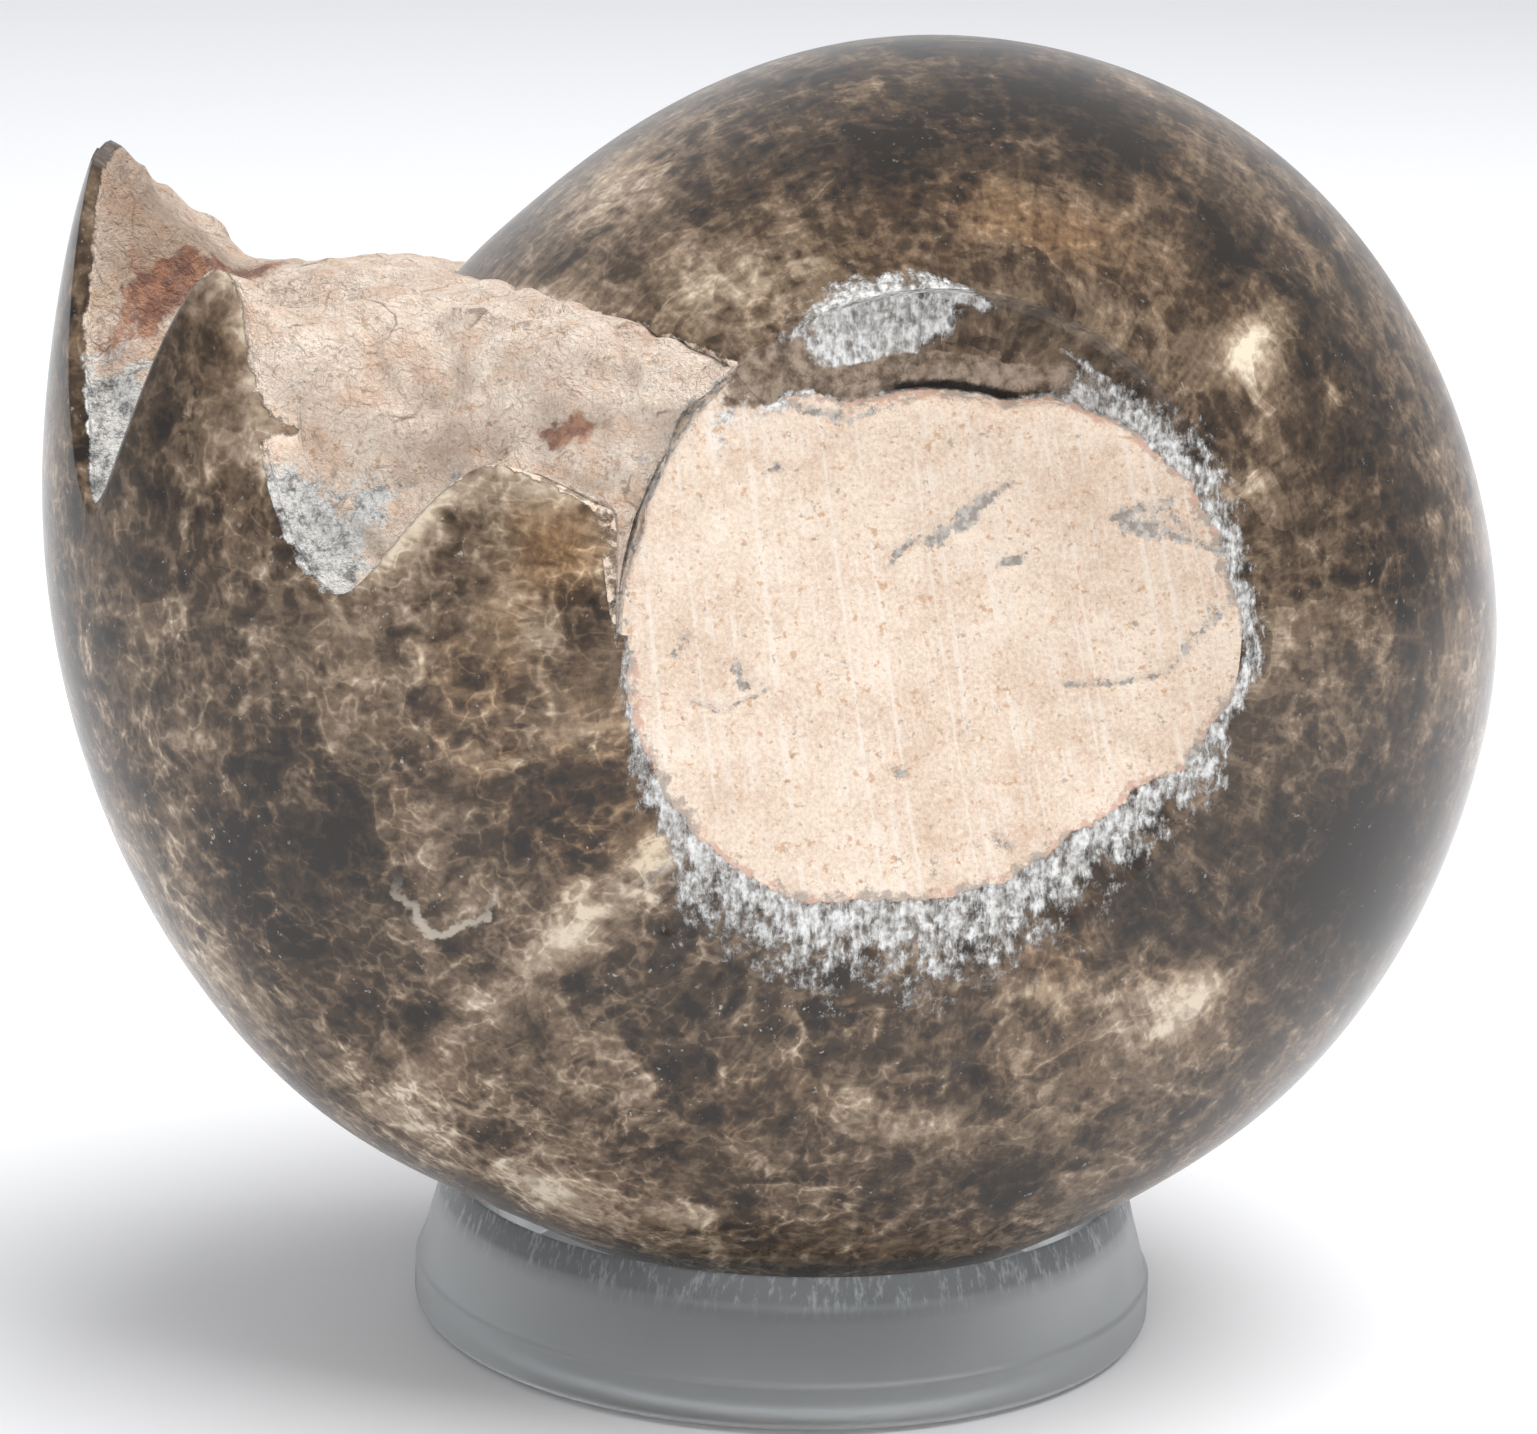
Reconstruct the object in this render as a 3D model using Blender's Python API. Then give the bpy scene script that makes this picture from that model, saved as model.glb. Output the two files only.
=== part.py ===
"""Polished Vascoceras ammonite, broken off at a septum, resting on a clear acrylic ring.

Metres, +Z up. The coil lies in the XZ plane and its axis is Y. The flat that the photo shows faces -Y.
Angles in the coil plane are measured from +X towards +Z, and the shell grows clockwise, from the notch
at the upper left over the top, the right side and the base back to the upper left.
"""
import bpy
import numpy as np

MM = 0.001

# The coil: the venter is its outer edge, and the notch is where the last whorl leaves the one before it
VENTER_RADIUS = 59.1 * MM
GROWTH_PER_RADIAN = 0.0897
LAST_FLARE = 0.0169
FLARE_START = 4.4
SWELL_TURNS = np.radians([0.0, 38.0, 100.0, 156.0, 292.0, 360.0])
SWELL_HEIGHTS = np.array([2.0, -0.25, 0.28, 0.4, 0.35, 1.0]) * MM
SWELL_SPREADS = np.radians([14.0, 15.0, 18.0, 12.0, 22.0, 11.0])
NOTCH_ANGLE = np.radians(150.0)
COIL_LEAN = np.radians(6.0)
COIL_HEIGHT = 52.7 * MM

# The two flats that were sawn across the umbilici, an oval on each side, the same distance from the middle
FLAT_OFFSET = 32.0 * MM
FLAT_CENTRE_X = -3.8 * MM
FLAT_HALF_LENGTH = 20.2 * MM
FLAT_HALF_HEIGHT = 21.3 * MM
MOST_HALF_WIDTH = 44.0 * MM

# The saw recess: a ledge broken out of the near flat along its upper edge
LEDGE_DEPTH = 2.2 * MM
LEDGE_ANGLE = np.radians(83.0)
LEDGE_SPREAD = np.radians(27.0)
LEDGE_PLACE = 0.86
LEDGE_WIDTH = 0.075

# The underside: fuller on the near side, hollowed on either hand where it rests, with a small ground flat
BELLY_HEIGHT = 1.0 * MM
BELLY_TURN = np.radians(244.0)
BELLY_SPREAD = np.radians(38.0)
BELLY_PLACE = -0.45
BELLY_WIDTH = 0.2
REST_TURNS = np.radians([220.0, 271.0])
REST_DEPTHS = np.array([1.6, 1.2]) * MM
REST_SPREADS = np.radians([13.0, 12.0])
REST_WIDTH = 0.35
REST_FLAT_HEIGHT = 4.4 * MM

# The broken end follows the suture: place across the whorl (-1 near flat, 0 venter, 1 far flat) and angle
SUTURE_PLACES = [-1.0, -0.92, -0.83, -0.67, -0.475, -0.26, 0.0, 0.16, 0.32, 0.52, 0.76, 1.0]
SUTURE_DEGREES = [182.0, 162.5, 161.4, 177.3, 155.5, 173.0, 152.2, 150.7, 151.0, 172.0, 158.0, 182.0]
INNER_PLACES = [-1.0, -0.7, -0.55, 0.0, 0.6, 1.0]
INNER_DEGREES = [135.0, 138.9, 142.6, 145.5, 142.0, 134.0]
CREST_HEIGHT = 20.2 * MM
CREST_DROP = 4.0 * MM
CREST_FAR_RISE = 7.5 * MM
LOBE_START = 0.12
LOBE_REACH = 0.5

# The ring stand, a turned piece of clear acrylic
RING_CENTRE_X = -4.9 * MM
RING_CENTRE_Y = 1.2 * MM
RING_BASE_RADIUS = 26.1 * MM
RING_TOP_RADIUS = 24.4 * MM
RING_BORE_RADIUS = 20.4 * MM
RING_HEIGHT = 10.3 * MM
RING_BAND_HEIGHT = 3.2 * MM
RING_SEAT_DEPTH = 3.6 * MM
RING_EDGE = 0.5 * MM
RING_STEPS = 72

# How finely the stone's faces are cut
WHORL_COLUMNS = 76
BREAK_COLUMNS = 12
FLANK_ROWS = 30
FLAT_ROWS = [0.35, 0.62, 0.76, 0.82, 0.88, 0.94]


def clear_scene():
    for item in list(bpy.data.objects):
        bpy.data.objects.remove(item, do_unlink=True)


def principled(name, colour, roughness, metallic=0.0, transmission=0.0):
    material = bpy.data.materials.new(name)
    material.use_nodes = True
    shader = material.node_tree.nodes["Principled BSDF"]
    shader.inputs["Base Color"].default_value = (*colour, 1.0)
    shader.inputs["Roughness"].default_value = roughness
    shader.inputs["Metallic"].default_value = metallic
    shader.inputs["Transmission Weight"].default_value = transmission
    return material


def venter_radius(turn):
    """A logarithmic spiral over the turn angle, with a slight flare and low swells and hollows."""
    spiral = VENTER_RADIUS * np.exp(-GROWTH_PER_RADIAN * (2 * np.pi - turn))
    flare = np.clip((turn - FLARE_START) / 2.0, 0.0, None) ** 2
    away = (turn[..., None] - SWELL_TURNS) / SWELL_SPREADS
    swell = (SWELL_HEIGHTS * np.exp(-away ** 2)).sum(axis=-1)
    return spiral * (1 + LAST_FLARE * flare) + swell


def underside(turn, across):
    """Height of the near side's belly, less the depth of the two hollows that rest on the ring."""
    belly = BELLY_HEIGHT * np.exp(-((turn - BELLY_TURN) / BELLY_SPREAD) ** 4)
    belly = belly * np.exp(-((across - BELLY_PLACE) / BELLY_WIDTH) ** 2)
    away = (turn[..., None] - REST_TURNS) / REST_SPREADS
    hollow = (REST_DEPTHS * np.exp(-away ** 2)).sum(axis=-1)
    return belly - hollow * np.exp(-(across / REST_WIDTH) ** 2)


def flat_radius(angle):
    """Distance from the coil axis to the oval rim of the sawn flat, along each angle."""
    across, up = np.cos(angle), np.sin(angle)
    a = (across / FLAT_HALF_LENGTH) ** 2 + (up / FLAT_HALF_HEIGHT) ** 2
    b = -2 * across * FLAT_CENTRE_X / FLAT_HALF_LENGTH ** 2
    c = (FLAT_CENTRE_X / FLAT_HALF_LENGTH) ** 2 - 1
    return (-b + np.sqrt(b * b - 4 * a * c)) / (2 * a)


def flank(turn, across):
    """Radius and offset of the whorl's skin: a half oval that the sawn flats cut at across = -1 and 1."""
    outer = venter_radius(turn)
    rim = flat_radius(NOTCH_ANGLE - turn)
    width = FLAT_OFFSET / np.sqrt(1 - (rim / outer) ** 2)
    width = np.minimum(width, MOST_HALF_WIDTH)
    rim_slope = np.arctan2(FLAT_OFFSET / width, rim / outer)
    slope = across * rim_slope
    edge = np.abs(across) ** 8
    radius = (outer + underside(turn, across)) * np.cos(slope)
    radius = radius * (1 - edge) + rim * edge
    offset = width * np.sin(slope)
    offset = offset * (1 - edge) + np.sign(across) * FLAT_OFFSET * edge
    return radius, offset


def smooth_curve(places, degrees, across):
    """Angle along the broken edge: half a cosine wave from each named point to the next."""
    across = np.asarray(across, dtype=float)
    places = np.asarray(places)
    degrees = np.asarray(degrees)
    step = np.clip(np.searchsorted(places, across, side="right") - 1, 0, len(places) - 2)
    share = (across - places[step]) / (places[step + 1] - places[step])
    share = 0.5 - 0.5 * np.cos(np.pi * np.clip(share, 0.0, 1.0))
    return np.radians(degrees[step] + (degrees[step + 1] - degrees[step]) * share)


def suture_turn(across):
    return NOTCH_ANGLE + 2 * np.pi - smooth_curve(SUTURE_PLACES, SUTURE_DEGREES, across)


def inner_turn(across):
    return NOTCH_ANGLE - smooth_curve(INNER_PLACES, INNER_DEGREES, across)


def coil_surface(column, across):
    """Angle, radius and offset on the skin for column 0 to 1, and on the broken end for column 1 to 2.

    The end runs from the suture on the last whorl in to the whorl before it. Its lobes fade over the
    first part of that way into a crest of matrix, level along the coil and lower towards the flats.
    """
    first, last = inner_turn(across), suture_turn(across)
    turn = first + (last - first) * np.clip(column, 0.0, 1.0)
    radius, offset = flank(turn, across)
    inward = np.clip(column - 1.0, 0.0, 1.0)
    outer_radius, outer_offset = flank(last, across)
    inner_radius, inner_offset = flank(first, across)
    broken_radius = outer_radius + (inner_radius - outer_radius) * inward
    broken_offset = outer_offset + (inner_offset - outer_offset) * inward
    crest = CREST_HEIGHT - CREST_DROP * across ** 2
    crest = crest + CREST_FAR_RISE * np.sin(np.pi * np.clip(across, 0.0, 1.0)) * (1 - inward) ** 3
    crest = crest / broken_radius
    crest_turn = NOTCH_ANGLE + np.pi + np.arcsin(np.clip(crest, 0.0, 1.0))
    crest_turn = crest_turn + (first + 2 * np.pi - crest_turn) * inward ** 4
    fade = np.clip((inward - LOBE_START) / LOBE_REACH, 0.0, 1.0)
    fade = fade * fade * (3 - 2 * fade)
    broken_turn = last + (crest_turn - last) * fade
    edge = np.abs(across) ** 8
    along_rim = last + (first + 2 * np.pi - last) * inward
    broken_turn = broken_turn * (1 - edge) + along_rim * edge
    broken_radius = broken_radius * (1 - edge) + flat_radius(NOTCH_ANGLE - broken_turn) * edge
    on_end = column > 1.0
    turn = np.where(on_end, broken_turn, turn)
    radius = np.where(on_end, broken_radius, radius)
    offset = np.where(on_end, broken_offset, offset)
    return NOTCH_ANGLE - turn, radius, offset


def ledge(angle, place):
    """Depth of the recess on the near flat, deepest along a short arc just inside the upper rim."""
    along = np.angle(np.exp(1j * (angle - LEDGE_ANGLE))) / LEDGE_SPREAD
    inside = (place - LEDGE_PLACE) / LEDGE_WIDTH
    return LEDGE_DEPTH * np.exp(-along ** 4 - inside ** 2)


def stand_up(angle, radius, offset):
    """Coil coordinates to the part's frame: lean the coil about X, lift it and flatten its resting spot."""
    x = radius * np.cos(angle)
    height = radius * np.sin(angle)
    y = offset * np.cos(COIL_LEAN) + height * np.sin(COIL_LEAN)
    z = height * np.cos(COIL_LEAN) - offset * np.sin(COIL_LEAN) + COIL_HEIGHT
    return np.stack([x, y, np.maximum(z, REST_FLAT_HEIGHT)], axis=-1)


def stone_points():
    """Rows from the middle of the near flat over rim, flank and venter to the middle of the far flat."""
    whorl = np.arange(WHORL_COLUMNS) / WHORL_COLUMNS
    broken = 1.0 + np.arange(BREAK_COLUMNS) / BREAK_COLUMNS
    column = np.concatenate([whorl, broken])
    rows = []
    for place in FLAT_ROWS:
        angle, radius, offset = coil_surface(column, np.full(column.shape, -1.0))
        middle = FLAT_CENTRE_X
        x = middle + (radius * np.cos(angle) - middle) * place
        z = radius * np.sin(angle) * place
        rows.append(stand_up(np.arctan2(z, x), np.hypot(x, z), offset + ledge(angle, place)))
    for across in np.linspace(-1.0, 1.0, FLANK_ROWS + 1):
        rows.append(stand_up(*coil_surface(column, np.full(column.shape, across))))
    for place in reversed(FLAT_ROWS):
        angle, radius, offset = coil_surface(column, np.full(column.shape, 1.0))
        middle = FLAT_CENTRE_X
        x = middle + (radius * np.cos(angle) - middle) * place
        z = radius * np.sin(angle) * place
        rows.append(stand_up(np.arctan2(z, x), np.hypot(x, z), offset))
    return np.array(rows)


def make_stone(shift, material):
    grid = stone_points()
    rows, columns = grid.shape[:2]
    near_pole = stand_up(np.pi, -FLAT_CENTRE_X, -FLAT_OFFSET)
    far_pole = stand_up(np.pi, -FLAT_CENTRE_X, FLAT_OFFSET)
    points = np.concatenate([grid.reshape(-1, 3), [near_pole], [far_pole]]) + shift
    row, column = np.meshgrid(np.arange(rows - 1), np.arange(columns), indexing="ij")
    following = (column + 1) % columns
    a = row * columns + column
    b = row * columns + following
    c = (row + 1) * columns + following
    d = (row + 1) * columns + column
    triangles = np.concatenate([np.stack([a, b, c], -1).reshape(-1, 3), np.stack([a, c, d], -1).reshape(-1, 3)])
    column = np.arange(columns)
    following = (column + 1) % columns
    near = np.full(columns, rows * columns)
    last_row = (rows - 1) * columns
    near_fan = np.stack([near, following, column], -1)
    far_fan = np.stack([near + 1, last_row + column, last_row + following], -1)
    faces = np.concatenate([triangles, near_fan, far_fan])
    return add_mesh("ammonite", points, faces, material)


def ring_profile():
    """Half section of the ring, from the inner foot round the outside to the top and down the bore."""
    base, top, bore = RING_BASE_RADIUS, RING_TOP_RADIUS, RING_BORE_RADIUS
    height, band, edge = RING_HEIGHT, RING_BAND_HEIGHT, RING_EDGE
    waist = RING_EDGE / 2
    return [
        (bore + edge, 0.0), (base - edge, 0.0), (base, edge), (base, band),
        (base - waist, band + waist), (top + edge, height * 0.66), (top, height - edge),
        (top - edge, height), (bore, height - RING_SEAT_DEPTH), (bore, edge),
    ]


def make_ring(shift, material):
    """The profile turned about the vertical through the ring's centre."""
    profile = np.array(ring_profile())
    turn = np.arange(RING_STEPS) * 2 * np.pi / RING_STEPS
    x = RING_CENTRE_X + np.outer(np.cos(turn), profile[:, 0])
    y = RING_CENTRE_Y + np.outer(np.sin(turn), profile[:, 0])
    z = np.outer(np.ones(RING_STEPS), profile[:, 1])
    points = np.stack([x, y, z], axis=-1).reshape(-1, 3) + shift
    count = len(profile)
    step, place = np.meshgrid(np.arange(RING_STEPS), np.arange(count), indexing="ij")
    next_step, next_place = (step + 1) % RING_STEPS, (place + 1) % count
    a = step * count + place
    b = next_step * count + place
    c = next_step * count + next_place
    d = step * count + next_place
    faces = np.stack([a, b, c, d], -1).reshape(-1, 4)
    return add_mesh("ring_stand", points, faces, material)


def add_mesh(name, points, faces, material):
    mesh = bpy.data.meshes.new(name)
    mesh.from_pydata(points.tolist(), [], faces.tolist())
    mesh.materials.append(material)
    mesh.shade_smooth()
    mesh.set_sharp_from_angle(angle=np.radians(35.0))
    piece = bpy.data.objects.new(name, mesh)
    bpy.context.scene.collection.objects.link(piece)
    return piece


def middle_of_footprint():
    """Moves the origin under the middle of the stone's box, on the surface that the ring stands on."""
    points = stone_points().reshape(-1, 3)
    middle = (points.min(axis=0) + points.max(axis=0)) / 2
    return np.array([-middle[0], -middle[1], 0.0])


def build():
    clear_scene()
    shift = middle_of_footprint()
    stone = principled("polished_calcite", (0.16, 0.11, 0.075), 0.25)
    acrylic = principled("clear_acrylic", (0.86, 0.88, 0.90), 0.12, transmission=1.0)
    make_stone(shift, stone)
    make_ring(shift, acrylic)


build()
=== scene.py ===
import bpy
import numpy as np
from mathutils import Matrix, Vector


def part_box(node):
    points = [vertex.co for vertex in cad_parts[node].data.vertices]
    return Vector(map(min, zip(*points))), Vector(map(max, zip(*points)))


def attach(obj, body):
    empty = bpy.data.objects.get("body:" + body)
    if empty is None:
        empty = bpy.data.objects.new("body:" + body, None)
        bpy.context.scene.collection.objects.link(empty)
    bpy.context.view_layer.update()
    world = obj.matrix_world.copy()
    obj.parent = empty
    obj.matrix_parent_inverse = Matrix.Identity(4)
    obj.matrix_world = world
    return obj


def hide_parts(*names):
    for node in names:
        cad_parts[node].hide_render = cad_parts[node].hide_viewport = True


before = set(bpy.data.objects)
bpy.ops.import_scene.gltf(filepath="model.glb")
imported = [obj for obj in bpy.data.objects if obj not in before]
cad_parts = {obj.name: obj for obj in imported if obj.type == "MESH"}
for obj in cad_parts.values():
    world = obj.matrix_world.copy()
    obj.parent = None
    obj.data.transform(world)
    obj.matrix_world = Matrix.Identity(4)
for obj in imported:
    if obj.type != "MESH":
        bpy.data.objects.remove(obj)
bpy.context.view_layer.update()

# The fossil: one natural stone, a vascoceras shell turned to brown calcite and filled with pale pink limestone.
# Its flanks are ground and polished, both umbilici are sawn flat, and the last whorl is broken at a septum.
# It rests loose in its ring. Sizes are in mm and turns in radians, from the first whorl's start at the notch.
MM = 0.001
# The venter: its radius where the last turn ends, its growth, a flare near the end and low swells seen in the outline
VENTER_RADIUS = 59.1
GROWTH_PER_RADIAN = 0.0897
LAST_FLARE = 0.0169
FLARE_START = 4.4
SWELL_TURNS = np.radians([0.0, 38.0, 100.0, 156.0, 292.0, 360.0])
SWELL_HEIGHTS = np.array([2.0, -0.25, 0.28, 0.4, 0.35, 1.0])
SWELL_SPREADS = np.radians([14.0, 15.0, 18.0, 12.0, 22.0, 11.0])
# The coil's place: where a turn starts, how far the coil leans back, and the height of its centre
NOTCH_ANGLE = np.radians(150.0)
COIL_LEAN = np.radians(6.0)
COIL_HEIGHT = 52.7
# The sawn flats: their distance from the middle plane, the oval of their rims, and the whorl's greatest half width
FLAT_OFFSET = 32.0
FLAT_CENTRE_X = -3.8
FLAT_HALF_LENGTH = 20.2
FLAT_HALF_HEIGHT = 21.3
MOST_HALF_WIDTH = 44.0
# The near side's belly, the two hollows that rest on the ring, and the flat ground under the coil
BELLY_HEIGHT, BELLY_TURN, BELLY_SPREAD = 1.0, np.radians(244.0), np.radians(38.0)
BELLY_PLACE, BELLY_WIDTH = -0.45, 0.2
REST_TURNS = np.radians([220.0, 271.0])
REST_DEPTHS = np.array([1.6, 1.2])
REST_SPREADS = np.radians([13.0, 12.0])
REST_WIDTH = 0.35
REST_FLAT_HEIGHT = 4.4
# The broken end: degrees back from the notch at places across the whorl, for its suture and for the whorl before it,
# the height of the crest that its lobes fade into, and how soon they fade
SUTURE_PLACES = [-1.0, -0.905, -0.83, -0.67, -0.468, -0.27, 0.0, 0.16, 0.32, 0.52, 0.76, 1.0]
SUTURE_DEGREES = [182.0, 162.5, 161.4, 177.3, 155.5, 173.0, 152.2, 150.7, 151.0, 172.0, 158.0, 182.0]
INNER_PLACES = [-1.0, -0.7, -0.55, 0.0, 0.6, 1.0]
INNER_DEGREES = [135.0, 138.9, 142.6, 145.5, 142.0, 134.0]
CREST_HEIGHT, CREST_DROP, CREST_FAR_RISE = 20.2, 4.0, 7.5
LOBE_START, LOBE_REACH = 0.12, 0.5
# The grid's columns and rows
WHORL_COLUMNS, BREAK_COLUMNS = 400, 100
FLAT_PLACES = np.linspace(0.0, 1.0, 57)[1:-1]
NEAR_ROWS, FAR_ROWS = 78, 48
FAR_FLAT_PLACES = np.linspace(0.0, 1.0, 14)[1:-1]
# The ring's place gives the coil's: its centre is 4.9 mm to -X of the coil's axis and 1.2 mm behind its middle
RING_TO_COIL_X, RING_TO_COIL_Y = 4.9, -1.2
ring_low, ring_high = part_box("ring_stand")
ring_x, ring_y = (ring_low.x + ring_high.x) / 2 / MM, (ring_low.y + ring_high.y) / 2 / MM
COIL_X, COIL_Y = ring_x + RING_TO_COIL_X, ring_y + RING_TO_COIL_Y


def lattice_noise(points, size, seed):
    """Value noise from -1 to 1: a repeatable number at each corner of a cubic lattice of this size, blended smoothly.

    The number is the part after the point of 43758.5453 * sin(127.1 x + 311.7 y + 74.7 z + 53.7 seed).
    """
    place = points / size + seed * 17.3
    corner = np.floor(place).astype(np.int64)
    part = place - corner
    part = part * part * (3 - 2 * part)
    total = np.zeros(points.shape[:-1])
    for step in range(8):
        offset = np.array([step & 1, step >> 1 & 1, step >> 2 & 1])
        x, y, z = np.moveaxis(corner + offset, -1, 0)
        number = np.sin(x * 127.1 + y * 311.7 + z * 74.7 + seed * 53.7) * 43758.5453
        number = 2 * (number - np.floor(number)) - 1
        weight = np.prod(np.where(offset, part, 1 - part), axis=-1)
        total += number * weight
    return total


def venter_radius(turn):
    """The outer radius: end radius * exp(-growth * turn left), with a slight flare, plus a sum of low bell swells."""
    spiral = VENTER_RADIUS * np.exp(-GROWTH_PER_RADIAN * (2 * np.pi - turn))
    flare = np.clip((turn - FLARE_START) / 2.0, 0.0, None) ** 2
    away = (turn[..., None] - SWELL_TURNS) / SWELL_SPREADS
    return spiral * (1 + LAST_FLARE * flare) + (SWELL_HEIGHTS * np.exp(-away ** 2)).sum(axis=-1)


def underside(turn, across):
    """Height of the near side's belly less the two hollows: bell curves over the turn times bell curves across."""
    belly = BELLY_HEIGHT * np.exp(-((turn - BELLY_TURN) / BELLY_SPREAD) ** 4)
    belly = belly * np.exp(-((across - BELLY_PLACE) / BELLY_WIDTH) ** 2)
    away = (turn[..., None] - REST_TURNS) / REST_SPREADS
    hollow = (REST_DEPTHS * np.exp(-away ** 2)).sum(axis=-1)
    return belly - hollow * np.exp(-(across / REST_WIDTH) ** 2)


def flat_radius(angle):
    """Distance from the coil axis to the oval rim of the sawn flat: the positive root of the oval's equation."""
    across, up = np.cos(angle), np.sin(angle)
    a = (across / FLAT_HALF_LENGTH) ** 2 + (up / FLAT_HALF_HEIGHT) ** 2
    b = -2 * across * FLAT_CENTRE_X / FLAT_HALF_LENGTH ** 2
    c = (FLAT_CENTRE_X / FLAT_HALF_LENGTH) ** 2 - 1
    return (-b + np.sqrt(b * b - 4 * a * c)) / (2 * a)


def flank(turn, across):
    """Radius and offset of the whorl's skin: outer * cos(slope) and width * sin(slope), a half oval.

    The sawn flats cut it at across = -1 and 1, where it blends exactly into their rims.
    """
    outer = venter_radius(turn)
    rim = flat_radius(NOTCH_ANGLE - turn)
    width = np.minimum(FLAT_OFFSET / np.sqrt(1 - (rim / outer) ** 2), MOST_HALF_WIDTH)
    slope = across * np.arctan2(FLAT_OFFSET / width, rim / outer)
    edge = np.abs(across) ** 8
    radius = (outer + underside(turn, across)) * np.cos(slope) * (1 - edge) + rim * edge
    offset = width * np.sin(slope) * (1 - edge) + np.sign(across) * FLAT_OFFSET * edge
    return radius, offset


def smooth_curve(places, heights, across):
    """Half a cosine wave from each named height to the next: low + (high - low) * (0.5 - 0.5 * cos(pi * share))."""
    places, heights = np.asarray(places), np.asarray(heights)
    step = np.clip(np.searchsorted(places, across, side="right") - 1, 0, len(places) - 2)
    share = np.clip((across - places[step]) / (places[step + 1] - places[step]), 0.0, 1.0)
    return heights[step] + (heights[step + 1] - heights[step]) * (0.5 - 0.5 * np.cos(np.pi * share))


def coil_surface(column, across):
    """Angle, radius, offset and distance from the break, with column 0 to 1 on the skin and 1 to 2 on the broken end.

    On the skin the turn goes straight from the first whorl's start to the suture. The end runs from the suture in to
    the whorl before it, and its lobes fade into a crest. The distance is in mm, and negative on the skin.
    """
    ragged = lattice_noise(np.stack([across * 60, across * 0, across * 0], -1), 2.2, 3)
    first = NOTCH_ANGLE - np.radians(smooth_curve(INNER_PLACES, INNER_DEGREES, across) + 0.5 * ragged)
    wavy = lattice_noise(np.stack([across * 40, across * 0, across * 0], -1), 3.0, 5) + ragged * 0.4
    suture = smooth_curve(SUTURE_PLACES, SUTURE_DEGREES, across) + 0.7 * wavy * (1 - across ** 2)
    last = NOTCH_ANGLE + 2 * np.pi - np.radians(suture)
    turn = first + (last - first) * np.clip(column, 0.0, 1.0)
    radius, offset = flank(turn, across)
    inward = np.clip(column - 1.0, 0.0, 1.0)
    outer_radius, outer_offset = flank(last, across)
    inner_radius, inner_offset = flank(first, across)
    broken_radius = outer_radius + (inner_radius - outer_radius) * inward
    broken_offset = outer_offset + (inner_offset - outer_offset) * inward
    crest = CREST_HEIGHT - CREST_DROP * across ** 2
    crest = crest + CREST_FAR_RISE * np.sin(np.pi * np.clip(across, 0.0, 1.0)) * (1 - inward) ** 3
    crest_turn = NOTCH_ANGLE + np.pi + np.arcsin(np.clip(crest / broken_radius, 0.0, 1.0))
    crest_turn = crest_turn + (first + 2 * np.pi - crest_turn) * inward ** 4
    fade = np.clip((inward - LOBE_START) / LOBE_REACH, 0.0, 1.0)
    fade = fade * fade * (3 - 2 * fade)
    broken_turn = last + (crest_turn - last) * fade
    edge = np.abs(across) ** 8
    along_rim = last + (first + 2 * np.pi - last) * inward
    broken_turn = broken_turn * (1 - edge) + along_rim * edge
    broken_radius = broken_radius * (1 - edge) + flat_radius(NOTCH_ANGLE - broken_turn) * edge
    on_end = column > 1.0
    skin = -np.minimum((last - turn) * radius, (turn - first) * radius)
    length = np.hypot(outer_radius - inner_radius, outer_offset - inner_offset) + 3.0
    within = np.minimum(inward, 1 - inward) * length
    distance = np.where(on_end, within, skin)
    turn = np.where(on_end, broken_turn, turn)
    radius = np.where(on_end, broken_radius, radius)
    offset = np.where(on_end, broken_offset, offset)
    return NOTCH_ANGLE - turn, radius, offset, distance


def stand_up(angle, radius, offset):
    """Coil coordinates to the part's frame in mm: a turn about X by the lean, a lift, and a floor to the height."""
    height = radius * np.sin(angle)
    y = offset * np.cos(COIL_LEAN) + height * np.sin(COIL_LEAN) + COIL_Y
    z = height * np.cos(COIL_LEAN) - offset * np.sin(COIL_LEAN) + COIL_HEIGHT
    return np.stack([radius * np.cos(angle) + COIL_X, y, np.maximum(z, REST_FLAT_HEIGHT)], axis=-1)


def spindle_grid(rows_of_points, near_pole, far_pole):
    """Points and faces of a closed skin: a grid that goes round, and a fan of triangles at each pole."""
    rows, columns = rows_of_points.shape[:2]
    points = np.concatenate([rows_of_points.reshape(-1, 3), [near_pole], [far_pole]])
    row, column = np.meshgrid(np.arange(rows - 1), np.arange(columns), indexing="ij")
    following = (column + 1) % columns
    quads = np.stack([row * columns + column, row * columns + following,
                      (row + 1) * columns + following, (row + 1) * columns + column], -1).reshape(-1, 4)
    column = np.arange(columns)
    following = (column + 1) % columns
    near = np.full(columns, rows * columns)
    last_row = (rows - 1) * columns
    near_fan = np.stack([near, following, column], -1)
    far_fan = np.stack([near + 1, last_row + column, last_row + following], -1)
    return points, quads, np.concatenate([near_fan, far_fan])


def make_piece(name, points, quads, triangles):
    """A mesh object of quads and triangles, in metres, smooth all over."""
    mesh = bpy.data.meshes.new(name)
    mesh.from_pydata((points * MM).tolist(), [], quads.tolist() + triangles.tolist())
    mesh.shade_smooth()
    piece = bpy.data.objects.new(name, mesh)
    bpy.context.scene.collection.objects.link(piece)
    return piece


def give_attribute(piece, name, values):
    """One number for each point of the mesh, read by the material."""
    layer = piece.data.attributes.new(name, "FLOAT", "POINT")
    layer.data.foreach_set("value", np.ascontiguousarray(values, dtype=np.float32).ravel())


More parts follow.
